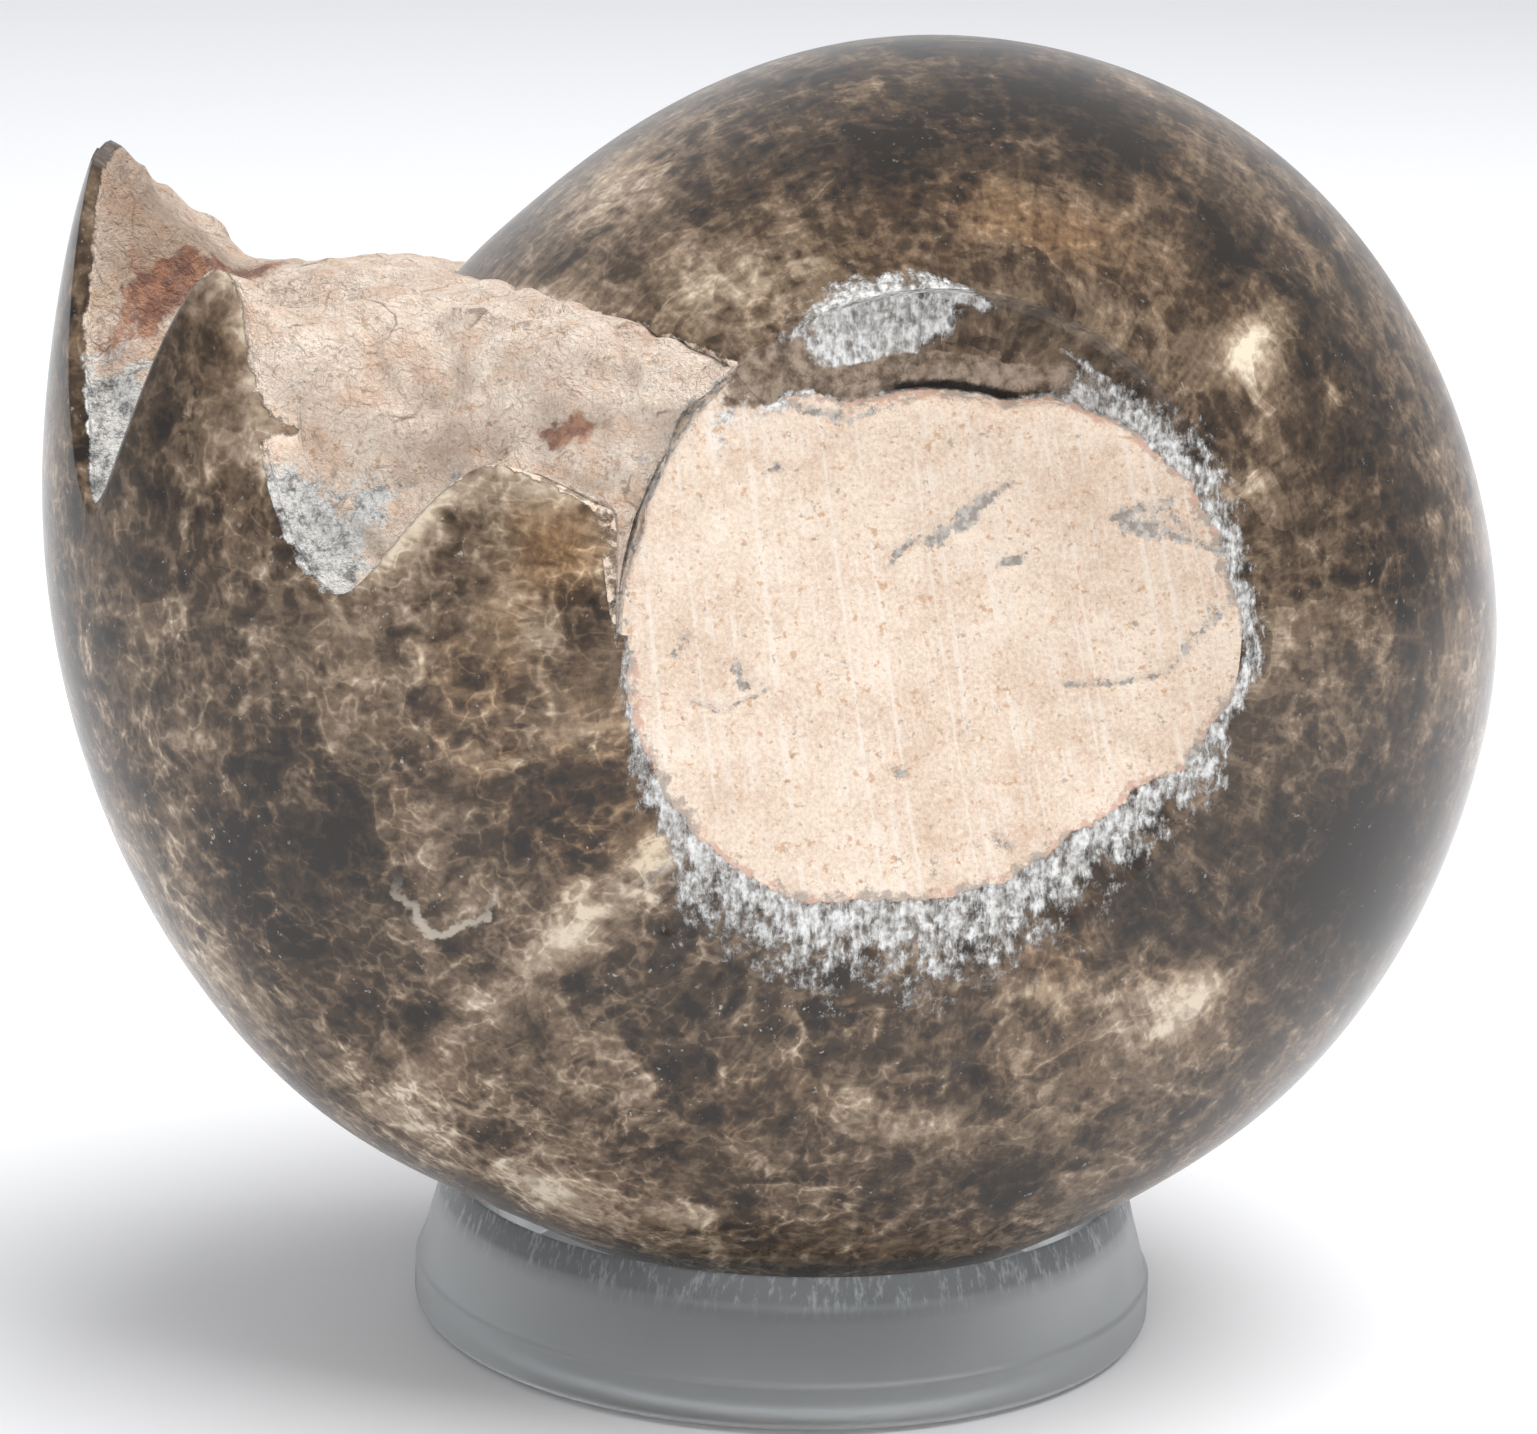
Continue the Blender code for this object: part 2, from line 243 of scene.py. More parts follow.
# The grid of the skin: columns go along the last whorl and then over the broken end, rows from the near flat's rim to
# the far one's, closer together near the rims
ROW_CROWDING = 1.35
column = np.concatenate([np.arange(WHORL_COLUMNS) / WHORL_COLUMNS, 1 + np.arange(BREAK_COLUMNS) / BREAK_COLUMNS])
near_half = np.linspace(0, 1, NEAR_ROWS) ** ROW_CROWDING - 1
far_half = 1 - np.linspace(1, 0, FAR_ROWS)[1:] ** ROW_CROWDING
columns, acrosses = np.meshgrid(column, np.concatenate([near_half, far_half]))
angle, radius, offset, from_break = coil_surface(columns, acrosses)
skin_points = stand_up(angle, radius, offset)


def flat_rows(places, side):
    """Rows of a sawn flat, as x, z and offset: centre + (rim - centre) * place, with one row for each place."""
    rim_angle, rim_radius, rim_offset, _ = coil_surface(column, np.full(column.shape, side))
    place = places[:, None]
    x = FLAT_CENTRE_X + (rim_radius * np.cos(rim_angle) - FLAT_CENTRE_X) * place
    z = rim_radius * np.sin(rim_angle) * place
    return x, z, rim_offset + 0 * place


near_x, near_z, near_offset = flat_rows(FLAT_PLACES, -1.0)
far_x, far_z, far_offset = flat_rows(FAR_FLAT_PLACES[::-1], 1.0)

# The plug: the limestone in the near flat, its edge given by angle and radius about the flat's centre, in mm
PLUG_DEGREES = [-180, -161, -139, -120, -100, -78, -55, -40, -24, -5, 12, 29, 44, 58, 74, 108, 125, 136, 147,
                158, 180]
PLUG_RADII = [19.6, 19.8, 19.6, 19.0, 17.2, 16.6, 15.9, 16.6, 18.9, 20.3, 19.2, 18.6, 17.7, 16.7, 15.0, 15.1,
              17.6, 18.2, 19.3, 20.1, 19.6]
# Between the plug and the broken end a strip of the limestone runs on to the flat's rim
STRIP_DEGREES, STRIP_FADE, STRIP_DEPTH, STRIP_EDGE = 128.0, 4.0, 3.0, 0.5
# The recess: above the plug the flat's edge is broken away to this depth, with a long slope outwards and a steep foot
LEDGE_DEPTH, LEDGE_SPREAD, LEDGE_DEGREES = 2.2, 32.0, 78.0
LEDGE_SLOPE, LEDGE_FOOT = 2.2, 0.35
flat_degrees = np.degrees(np.arctan2(near_z, near_x - FLAT_CENTRE_X))
flat_distance = np.hypot(near_x - FLAT_CENTRE_X, near_z)
strip = STRIP_DEPTH * np.clip((flat_degrees - STRIP_DEGREES) / STRIP_FADE, 0.0, 1.0) - STRIP_EDGE
into_plug = np.maximum(smooth_curve(PLUG_DEGREES, PLUG_RADII, flat_degrees) - flat_distance, strip)
ledge = np.exp(-((flat_degrees - LEDGE_DEGREES) / LEDGE_SPREAD) ** 4)
slope = np.clip(1 + into_plug / LEDGE_SLOPE, 0.0, 1.0) * (into_plug < 0)
foot = np.exp(-np.clip(into_plug, 0, None) / LEDGE_FOOT) * (into_plug >= 0)
near_offset = near_offset + LEDGE_DEPTH * ledge * (slope + foot)
near_points = stand_up(np.arctan2(near_z, near_x), np.hypot(near_x, near_z), near_offset)
far_points = stand_up(np.arctan2(far_z, far_x), np.hypot(far_x, far_z), far_offset)

grid = np.concatenate([near_points, skin_points, far_points])
near_pole = stand_up(np.pi, -FLAT_CENTRE_X, -FLAT_OFFSET)
far_pole = stand_up(np.pi, -FLAT_CENTRE_X, FLAT_OFFSET)
# The same points in the coil's own axes, in mm from its centre: x to the right, y along the coil's axis, z up
coil_x = np.concatenate([near_x, radius * np.cos(angle), far_x])
coil_y = np.concatenate([near_offset, offset, far_offset])
coil_z = np.concatenate([near_z, radius * np.sin(angle), far_z])
# How far each point lies inside the limestone, in mm: negative in the calcite, and the far flat is limestone all over
FAR_FLAT_LIMESTONE = 6.0
limestone = np.concatenate([into_plug, from_break, np.full(far_x.shape, FAR_FLAT_LIMESTONE)])
on_skin = np.zeros(coil_x.shape, dtype=bool)
on_skin[len(near_x):len(near_x) + len(angle)] = True
on_end = on_skin & (limestone > 0)
# Gaps are cut off at this distance, and soft spots fade out over the last few mm before the coil's middle plane
FAR_AWAY = 9.0
SPOT_FADE = 6.0


def spots(places):
    """Soft oval spots on the near side: the sum of strength * exp(-along ** 2 - side ** 2).

    Each place is x, z, half length, half width, tilt in degrees and strength.
    """
    total = np.zeros(coil_x.shape)
    for x, z, length, width, degrees, strength in places:
        tilt = np.radians(degrees)
        along = ((coil_x - x) * np.cos(tilt) + (coil_z - z) * np.sin(tilt)) / length
        side = ((coil_z - z) * np.cos(tilt) - (coil_x - x) * np.sin(tilt)) / width
        total += strength * np.exp(-along ** 2 - side ** 2)
    return total * np.clip(-coil_y / SPOT_FADE, 0.0, 1.0)


def lumps(places):
    """Soft round lumps anywhere: the sum of strength * exp(-(distance / radius) ** 2).

    Each place is x, y, z, radius and strength.
    """
    total = np.zeros(coil_x.shape)
    for x, y, z, size, strength in places:
        away = (coil_x - x) ** 2 + (coil_y - y) ** 2 + (coil_z - z) ** 2
        total += strength * np.exp(-away / size ** 2)
    return total


def inside_gap(corners):
    """How far inside a straight-sided shape on the near side: the least distance inside any side's line, in mm."""
    inside = np.where(coil_y < 0, FAR_AWAY, -FAR_AWAY)
    for (x0, z0), (x1, z1) in zip(corners, corners[1:] + corners[:1]):
        dx, dz = x1 - x0, z1 - z0
        inside = np.minimum(inside, (dx * (coil_z - z0) - dz * (coil_x - x0)) / np.hypot(dx, dz))
    return inside


def line_gap(lines):
    """Distance on the near side from the nearest of several broken lines, less that line's own half width, in mm."""
    nearest = np.full(coil_x.shape, FAR_AWAY)
    for width, corners in lines:
        for (x0, z0), (x1, z1) in zip(corners[:-1], corners[1:]):
            dx, dz = x1 - x0, z1 - z0
            share = np.clip(((coil_x - x0) * dx + (coil_z - z0) * dz) / (dx * dx + dz * dz), 0.0, 1.0)
            gap = np.hypot(coil_x - x0 - dx * share, coil_z - z0 - dz * share) - width
            nearest = np.minimum(nearest, np.where(coil_y < 0, gap, FAR_AWAY))
    return nearest


# The shell wall is left standing as a calcite edge round the far tongue, and a scrap of it beside the second tongue
WALL_LEFT = [(-53.5, -4, 20, 6, 1), (-54, -8, 11, 5, 1), (-52, 3, 28, 6, 1)]
SCRAP_LEFT = [(-42.2, 12.2, 2.2, 1.4, -35, 1.2)]
limestone = limestone - 1.2 * np.clip(lumps(WALL_LEFT), 0, 1)
limestone = limestone - 3.0 * np.clip(spots(SCRAP_LEFT), 0, 1) * on_skin

# Paler, darker and more golden clouds in the calcite, the brightest a round cream spot right of the plug
PALE_SPOTS = [
    (17.3, 17.2, 2.5, 2.1, 20, 3.0), (22.8, 24.5, 6.0, 1.5, -59, 0.9), (8.5, 33.5, 5.0, 0.8, -10, -0.4),
    (23.5, 14.3, 1.3, 0.7, -40, 1.7), (-20.9, 26.6, 4.2, 1.5, 35, 1.4), (-17.0, 20.5, 4.5, 2.8, 30, 1.0),
    (3.1, 25.1, 5.0, 1.6, -15, 0.4), (12.5, 27.5, 5.0, 0.9, 35, 0.8), (14.8, -24.6, 5.6, 2.3, 28, 2.1),
    (4.4, -23.2, 4.5, 1.3, -8, 1.3), (-23.0, -16.0, 4.5, 1.8, 48, 1.9), (-21.3, -13.6, 2.5, 1.3, 48, 1.2),
    (-28.5, -22.0, 6.0, 1.4, 50, 2.0), (-33.0, -29.0, 3.0, 1.3, 50, 0.8), (-25.5, -5.5, 4.0, 1.8, 20, 1.4),
    (-17.2, -39.8, 3.2, 1.3, -5, 1.7), (-26.0, -38.0, 3.2, 1.2, -30, 1.6), (-34.0, -34.5, 7.5, 1.8, -35, 1.2),
    (-46.5, -24.0, 7.0, 1.8, -55, 1.7), (-33.0, -18.8, 1.9, 0.6, 30, 1.5), (-8.0, -29.9, 4.2, 2.4, -20, 1.2),
    (-3.0, -32.5, 5.0, 1.6, 0, 0.8), (34.1, 5.9, 6.5, 0.5, 3, 1.0), (15.8, 8.6, 3.5, 1.2, 25, 1.0),
    (25.3, -1.4, 4.5, 3.5, 40, 0.25), (30.5, 1.0, 2.0, 6.0, 0, -0.5), (-42.0, -2.0, 6.0, 9.0, 0, 0.4),
    (-31.0, 4.0, 6.0, 4.0, 0, 1.05), (-31.0, -2.0, 7.0, 4.0, 0, 0.4), (-23.8, -27.0, 3.0, 1.0, -50, 0.7)]
DARK_SPOTS = [
    (-13.5, 24.5, 5.0, 3.0, 20, 0.2), (-43.0, -20.0, 5.0, 5.0, 0, -0.5), (28.0, -18.0, 6.0, 5.0, 30, -0.7),
    (-28.5, 5.5, 2.0, 1.5, 0, -0.3), (-24.8, 1.5, 2.0, 2.0, 0, -0.5), (-4.6, 29.5, 7.0, 3.6, 5, -1.3),
    (7.0, 32.0, 7.5, 3.8, -20, -1.4), (18.5, 24.0, 6.5, 4.2, -45, -1.1), (25.8, 16.0, 4.0, 6.0, 0, -0.8),
    (24.8, 9.5, 4.0, 3.0, 0, -0.7), (30.0, 4.0, 4.0, 5.0, 0, -0.4), (24.3, -16.0, 8.0, 5.0, 30, -2.0),
    (33.0, -22.0, 7.0, 5.0, 40, -1.0), (-40.5, -13.3, 5.0, 5.0, 0, -1.1), (-44.5, -18.0, 3.0, 6.0, 0, -0.6),
    (-32.0, -11.0, 3.5, 2.5, 0, -0.5), (-24.8, -10.0, 4.5, 2.4, 20, -1.5), (-19.0, -24.5, 4.0, 2.2, 0, -0.7),
    (-1.5, -29.3, 4.0, 2.0, 0, -0.5), (2.0, -37.0, 7.0, 2.5, 0, -0.7), (10.6, -17.5, 5.0, 2.0, 20, -0.8),
    (-11.8, 28.5, 5.0, 3.0, 10, -0.5)]
AMBER_SPOTS = [
    (-28.5, 5.5, 4.5, 3.0, 0, 1.0), (3.1, 25.1, 7.0, 2.6, -15, 1.0), (12.1, 27.9, 6.0, 2.0, 35, 0.9),
    (4.4, -22.5, 7.0, 3.0, 0, 0.8), (-7.0, 23.5, 5.0, 2.0, 0, 0.7), (-22.0, -13.0, 5.0, 4.0, 0, 0.5),
    (30.0, 6.0, 4.0, 3.0, 0, 0.4), (-30.0, -5.0, 10.0, 7.0, 0, 0.7), (-26.0, -12.0, 5.0, 5.0, 0, 0.5),
    (-10.0, -26.0, 6.0, 4.0, 0, 0.4)]
# The chip low on the left, where a thin flake of calcite has come away
FLAKE_CORNERS = [(-36.8, -11.0), (-37.3, -14.4), (-36.3, -17.3), (-34.1, -20.2), (-30.4, -17.5),
                 (-30.8, -14.6), (-33.0, -12.0)]
amber = spots(AMBER_SPOTS)
flake_rim = inside_gap(FLAKE_CORNERS)
from_suture = np.clip(-limestone, 0, None)
first_tongue = np.exp(-((coil_x + 33.0) / 8.0) ** 4) * on_skin * (coil_y < -12)
second_tongue = np.exp(-((coil_x + 45.5) / 3.5) ** 4) * np.clip((coil_z - 8.0) / 5.0, 0, 1) * on_skin * (coil_y < 0)
paleness = spots(PALE_SPOTS) + spots(DARK_SPOTS) + 0.6 * np.clip(flake_rim + 0.5, 0.0, 1.0)
paleness += 2.0 * np.exp(-from_suture ** 2 / 4.5) * first_tongue
paleness += 2.0 * np.exp(-from_suture ** 2 / 12.0) * second_tongue

# Cracks and grey flaws in the plug, each a broken line with its half width in mm
CRACKS = [
    (0.45, [(-4.2, 5.6), (-2.3, 6.8), (-0.6, 8.3)]), (0.4, [(8.2, 6.6), (10.2, 5.9)]),
    (0.0, [(10.1, 9.2), (11.2, 7.2), (13.0, 5.6), (14.5, 4.7)]),
    (0.2, [(12.6, -8.2), (14.4, -6.9), (15.6, -5.2)]),
    (0.1, [(-6.8, 4.5), (-5.3, 5.6), (-3.7, 5.4), (-2.1, 7.6), (0.7, 9.1)]),
    (-0.3, [(-6.2, 3.2), (-4.6, 2.5), (-0.8, 5.4), (1.5, 4.4), (4.0, 6.3)]), (0.15, [(0.3, 4.1), (1.6, 4.5)]),
    (0.2, [(7.6, 7.0), (9.8, 7.6), (10.6, 6.2), (12.6, 5.4)]), (0.1, [(11.4, 8.4), (9.9, 6.6)]),
    (0.0, [(14.2, 2.4), (13.3, -0.7), (11.1, -2.9), (7.5, -3.5), (4.6, -3.5)]),
    (0.0, [(16.5, 3.0), (14.2, 0.5), (12.3, -1.3)]), (-0.05, [(-19.4, -4.1), (-17.5, -4.9), (-14.3, -3.5)]),
    (0.2, [(-16.4, -2.0), (-15.9, -3.3)]), (0.2, [(-19.8, -0.2), (-20.3, -1.4)]),
    (0.05, [(-16.7, 16.2), (-18.6, 14.4), (-20.1, 12.6), (-22.1, 9.2), (-23.3, 5.0)]),
    (-0.1, [(-23.3, 5.0), (-23.3, -0.9), (-22.5, -5.3), (-20.8, -10.0)]), (0.1, [(-14.8, 9.8), (-14.0, 10.2)]),
    (0.1, [(-6.4, -8.8), (-5.6, -8.9)]), (0.25, [(13.9, -7.2), (12.9, -8.4)]),
    (0.15, [(0.4, -13.2), (1.2, -13.8)]), (0.1, [(-13.0, 13.9), (-9.5, 13.2), (-7.0, 13.9)])]
crack_gap = line_gap(CRACKS)

# White bruised calcite: a fringe of fibres round the plug, of this width in mm at each angle, and a patch above it
FRINGE_DEGREES = [-180, -165, -150, -130, -105, -80, -55, -30, -15, 5, 30, 55, 68, 180]
FRINGE_WIDTHS = [0.2, 0.5, 1.2, 3.4, 4.5, 4.4, 3.3, 2.2, 0.8, 1.1, 1.8, 2.1, 0.6, 0.2]
BRUISED_PATCH = [
    (-8.0, 18.8, 4.7, 2.8, 12, 2.4), (-12.2, 17.3, 1.6, 1.4, 0, 0.9), (-1.5, 20.6, 3.6, 0.45, -22, 1.0),
    (6.6, 15.9, 3.5, 0.55, -36, 1.0)]
near_side = coil_y < -20.0
around = np.degrees(np.arctan2(coil_z, coil_x - FLAT_CENTRE_X))
from_plug = np.hypot(coil_x - FLAT_CENTRE_X, coil_z) - smooth_curve(PLUG_DEGREES, PLUG_RADII, around)
fringe = smooth_curve(FRINGE_DEGREES, FRINGE_WIDTHS, around)
bruising = np.clip(np.where(near_side, 1.3 - from_plug / fringe, -3.0), -3.0, 1.0)
bruising = bruising * np.clip(from_plug / 0.5 + 1, 0, 1)
bruising = np.maximum(bruising, -1.6 + 2.6 * spots(BRUISED_PATCH))

# The broken foot of the recess above the plug, a scar at its left end, and a near-black painted shadow in the corner
# of the foot, under the lip
GROOVE_DEGREES, GROOVE_SPREAD, GROOVE_WIDTH = 94.0, 36.0, 2.5
SCAR = [(-14.6, 16.1, 3.2, 1.6, 35, 0.8)]
# The painted shadow at the foot: its angle, spread, distance out from the plug and width
CREVICE_DEGREES, CREVICE_SPREAD, CREVICE_PLACE, CREVICE_WIDTH = 85.0, 23.0, 0.25, 0.36
off_plug = np.clip(from_plug / 0.3, 0.0, 1.0)
groove = near_side * np.exp(-((around - GROOVE_DEGREES) / GROOVE_SPREAD) ** 6)
groove = groove * off_plug * np.clip((GROOVE_WIDTH - from_plug) / 0.5, 0.0, 1.0)
groove = np.maximum(groove, np.clip(1.4 * spots(SCAR), 0.0, 1.0) * (coil_y < -25) * off_plug)
crevice = near_side * np.exp(-((around - CREVICE_DEGREES) / CREVICE_SPREAD) ** 4)
crevice = crevice * np.exp(-((from_plug - CREVICE_PLACE) / CREVICE_WIDTH) ** 2)

# Red stains, grey crusts, and painted shade on the far tongue's broken face: the near flat is darker to the upper
# right too
STAINS = [
    (-27.3, -28.3, 12.0, 1.2, 1.3), (-25.6, -29.0, 12.6, 0.9, 0.9), (-30.5, -27.0, 10.9, 0.8, 0.8),
    (-32.5, -25.8, 10.6, 0.6, 0.7), (-34.8, -24.5, 6.0, 0.5, 0.8), (-48.6, -3.0, 20.2, 1.4, 1.1),
    (-36.0, -20.0, 15.0, 1.6, 0.35), (-33.0, -21.0, 14.0, 1.2, 0.35), (-50.3, -3.9, 19.1, 2.2, 1.3),
    (-46.8, -2.0, 20.4, 2.2, 1.2), (-43.0, 0.0, 21.0, 2.6, 1.2), (-52.6, -6.0, 15.2, 1.6, 0.45),
    (-52.0, -5.0, 16.8, 2.0, 0.4), (-26.2, -22.9, 19.1, 1.3, 0.8), (-22.5, -25.5, 18.6, 1.5, 0.7),
    (-18.5, -29.4, 17.4, 1.4, 0.6), (-31.5, -18.0, 18.0, 2.6, 0.5), (-52.0, -1.0, 23.0, 2.0, 0.7)]
CRUSTS = [
    (-42.6, -23.2, 4.4, 3.0, 1.7), (-43.4, -22.3, 7.0, 2.0, 1.1), (-40.8, -24.0, 3.2, 1.8, 0.7),
    (-38.1, -23.0, 7.6, 1.5, 0.8), (-53.4, -8.5, 10.0, 4.6, 1.9), (-51.0, 0.0, 23.0, 2.0, 0.35),
    (-22.0, -30.5, 11.0, 1.0, 0.4), (-17.5, -31.0, 15.0, 1.0, 0.5), (-50.0, 3.0, 27.0, 3.0, 0.2),
    (-14.5, -32.0, 15.2, 1.8, 0.4), (-17.5, -32.0, 12.8, 1.5, 0.3), (-24.0, -25.0, 14.5, 1.6, 0.4),
    (-34.0, -26.0, 9.6, 1.4, 0.5)]
# Painted shade: lumps that darken the far tongue's broken face, which is less lit
FAR_TONGUE_SHADE_PATCHES = [(-51.0, 3.0, 27.0, 8.0, 1.0), (-50.0, -1.0, 20.5, 4.0, 0.8), (-53.0, -7.0, 11.0, 4.0, 0.3),
                (-44.0, 2.0, 22.0, 4.0, 0.5)]
towards_corner = np.clip((coil_x + 1.2 * coil_z + 6.0) / 20.0, 0.0, 1.0)
shade_and_darkening = (0.09 + 0.26 * towards_corner) * (coil_y < -28) * ~on_skin + np.clip(lumps(FAR_TONGUE_SHADE_PATCHES), 0.0, 1.0)

# The surface is pushed out and in along its own normals: the broken end by several sizes of noise and by a fold round
# the first tongue, the skin by the flake and small holes, and the sawn plug by saw marks, pits and cracks
FOLD = [
    (-40.5, -24.5, 5.0, 2.0, 0.9), (-37.0, -24.5, 8.0, 1.8, 1.0), (-34.0, -25.0, 10.0, 1.7, 1.1),
    (-31.0, -26.5, 11.0, 1.6, 1.1), (-28.0, -28.0, 11.8, 1.6, 1.1), (-25.0, -29.3, 12.0, 1.5, 0.8),
    (-42.0, -19.0, 12.0, 2.2, -0.9), (-39.5, -17.5, 15.5, 2.6, -0.6)]
HOLES = [
    (-32.6, -9.9, 1.0, 0.6, 70, 0.5), (-20.4, -18.5, 0.7, 0.6, 0, 0.6), (-17.0, -21.3, 0.6, 0.5, 0, 0.6),
    (-0.2, -28.8, 1.7, 1.0, 10, 0.5), (2.4, -25.4, 0.4, 0.3, 0, 0.4), (-30.2, -7.0, 1.2, 0.7, 40, 0.35)]
normal = np.cross(np.roll(grid, -1, axis=1) - np.roll(grid, 1, axis=1), np.gradient(grid, axis=0))
normal = normal / np.maximum(np.linalg.norm(normal, axis=-1, keepdims=True), 1e-9)
rough = 0.8 * lattice_noise(grid, 8.0, 1) + 0.65 * lattice_noise(grid, 3.2, 2) + 0.28 * lattice_noise(grid, 1.4, 4)
rough -= 1.15 * lumps(FOLD)
rough -= 0.5 * np.clip(0.25 - abs(lattice_noise(grid, 5.0, 9)), 0.0, None) / 0.25
broken = np.where(on_end, np.clip(limestone / 1.5, 0.0, 1.0), 0.0)
saw_line = coil_x + coil_z * (0.12 + 0.003 * (coil_x + 20.0))
sawn = np.zeros(coil_x.shape)
sawn[:len(near_x)] = np.clip(into_plug + 0.3, 0.0, 1.0)
saw_marks = lattice_noise(np.stack([saw_line, saw_line * 0, saw_line * 0], -1), 1.1, 6) * 0.04
pits = np.clip(lattice_noise(grid, 1.2, 7) - 0.55, 0.0, None) * 0.5
cracked = 0.25 * np.exp(-np.clip(crack_gap, 0.0, None) ** 2 / 0.03)
flake_depth = 0.5 * np.clip(flake_rim / 0.3, 0.0, 1.0) * np.clip(1.0 - flake_rim / 3.0, 0.0, 1.0)
push = broken * rough - (flake_depth + spots(HOLES)) * on_skin + sawn * (saw_marks - pits - cracked)
grid = grid + normal * push[..., None]

ammonite = make_piece("ammonite_stone", *spindle_grid(grid, near_pole, far_pole))
# What the material reads at each point, and at the two poles where that isn't 0
STONE_VALUES = {
    "limestone": limestone, "bruise": bruising, "pale": paleness, "amber": amber, "crack": crack_gap,
    "stain": lumps(STAINS), "ashen": lumps(CRUSTS), "dull": shade_and_darkening, "groove": groove, "crevice": crevice,
    "saw": saw_line, "sawn": sawn, "flake": flake_rim,
    "end": np.where(on_end, np.clip(limestone / 0.3, 0.0, 1.0), 0.0)}
POLE_VALUES = {"limestone": 15.0, "saw": -4.0, "crack": 5.0}
for name, values in STONE_VALUES.items():
    give_attribute(ammonite, name, np.append(values.ravel(), [POLE_VALUES.get(name, 0.0)] * 2))


def give_places(piece, name, x, y, z):
    """A place for each point of the mesh, in a space of the material's own, and 0, 0, 0 at both poles."""
    places = np.concatenate([np.stack([x, y, z], -1).reshape(-1, 3), np.zeros((2, 3))])
    layer = piece.data.attributes.new(name, "FLOAT_VECTOR", "POINT")
    layer.data.foreach_set("vector", places.astype(np.float32).ravel())


# "rays" is a space in which noise runs out from the plug, and "flow" is one of mm along and over the whorl
RAY_RADIUS, RAY_STRETCH, RAY_TILT = 25.0, 0.16, 0.1
FLOW_RADIUS, FLOW_HALF_WIDTH = 48.0, 45.0
turned = np.radians(around)
outward = RAY_STRETCH * np.hypot(coil_x - FLAT_CENTRE_X, coil_z) + RAY_TILT * coil_y
give_places(ammonite, "rays", RAY_RADIUS * np.cos(turned), outward, RAY_RADIUS * np.sin(turned))
along_coil = (NOTCH_ANGLE - angle) * FLOW_RADIUS
along_coil = np.pad(along_coil, ((len(near_x), len(far_x)), (0, 0)), mode="edge")
over_coil = np.arcsin(np.clip(coil_y / FLOW_HALF_WIDTH, -1, 1)) * FLOW_HALF_WIDTH
give_places(ammonite, "flow", along_coil, over_coil, np.zeros(coil_x.shape))


